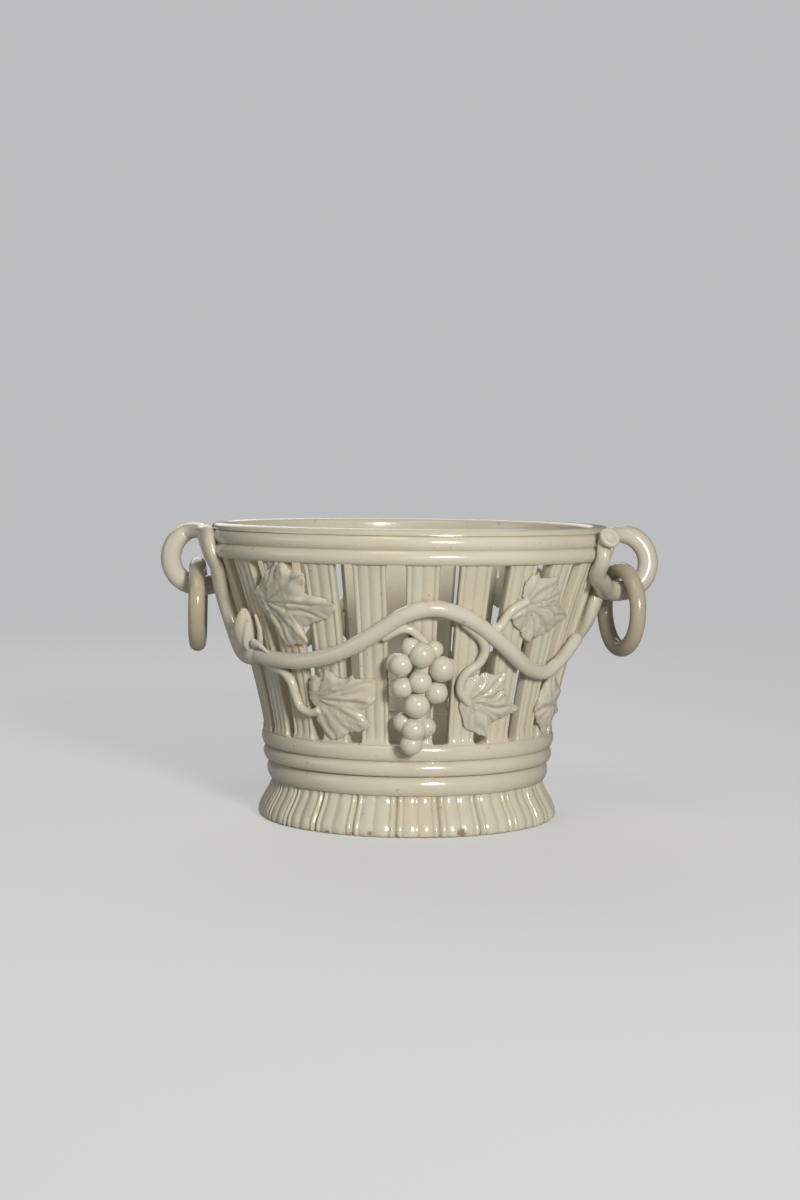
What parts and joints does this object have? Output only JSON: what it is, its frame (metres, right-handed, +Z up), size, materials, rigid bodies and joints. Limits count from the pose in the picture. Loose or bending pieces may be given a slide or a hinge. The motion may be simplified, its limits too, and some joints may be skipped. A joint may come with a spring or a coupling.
{
  "type": "pierced cachepot",
  "caption": "Round pierced pottery cachepot with reeded slats, a fluted flared foot, a relief grapevine and curled handles that carry loose rings.",
  "frame": {"origin": "middle of the resting face, under the foot", "axes": "+Z up the pot's middle line, the vine's front side towards -Y, the handles towards -X and +X"},
  "size_m": [0.2032, 0.1626, 0.119],
  "materials": {
    "body_glaze": "glossy cream lead glaze on pale earthenware",
    "relief_glaze": "glossy cream lead glaze, pooled in the veins and hollows",
    "ring_glaze": "glossy cream lead glaze, slightly greyer"
  },
  "bodies": {
    "pot": {"foot_skirt": "body_glaze", "base_floor": "body_glaze", "lower_band": "body_glaze", "rim_band": "body_glaze", "slat_01": "body_glaze", "slat_02": "body_glaze", "slat_03": "body_glaze", "slat_04": "body_glaze", "slat_05": "body_glaze", "slat_06": "body_glaze", "slat_07": "body_glaze", "slat_08": "body_glaze", "slat_09": "body_glaze", "slat_10": "body_glaze", "slat_11": "body_glaze", "slat_12": "body_glaze", "slat_13": "body_glaze", "slat_14": "body_glaze", "slat_15": "body_glaze", "slat_16": "body_glaze", "slat_17": "body_glaze", "slat_18": "body_glaze", "slat_19": "body_glaze", "slat_20": "body_glaze", "slat_21": "body_glaze", "slat_22": "body_glaze", "slat_23": "body_glaze", "slat_24": "body_glaze", "vine_front": "relief_glaze", "grapes_front": "relief_glaze", "leaf_front_upper_left": "relief_glaze", "leaf_front_lower_left": "relief_glaze", "leaf_front_lower_right": "relief_glaze", "leaf_front_upper_right": "relief_glaze", "leaf_front_far_right": "relief_glaze", "bud_front": "relief_glaze", "vine_back": "relief_glaze", "grapes_back": "relief_glaze", "leaf_back_upper_left": "relief_glaze", "leaf_back_lower_left": "relief_glaze", "leaf_back_lower_right": "relief_glaze", "leaf_back_upper_right": "relief_glaze", "leaf_back_far_right": "relief_glaze", "bud_back": "relief_glaze", "handle_left": "relief_glaze", "handle_right": "relief_glaze"},
    "left_ring": {"ring_left": "ring_glaze"},
    "right_ring": {"ring_right": "ring_glaze"}
  },
  "joints": [
    {"name": "left_ring_swing", "type": "hinge", "parent": "pot", "child": "left_ring", "pos_m": [-0.0865, 0.0025, 0.1038], "axis": [-0.0523, 0.9986, 0], "range_deg": [-5, 110]},
    {"name": "right_ring_swing", "type": "hinge", "parent": "pot", "child": "right_ring", "pos_m": [0.0865, -0.0025, 0.1038], "axis": [0.3256, -0.9455, 0], "range_deg": [-20, 110]}
  ]
}
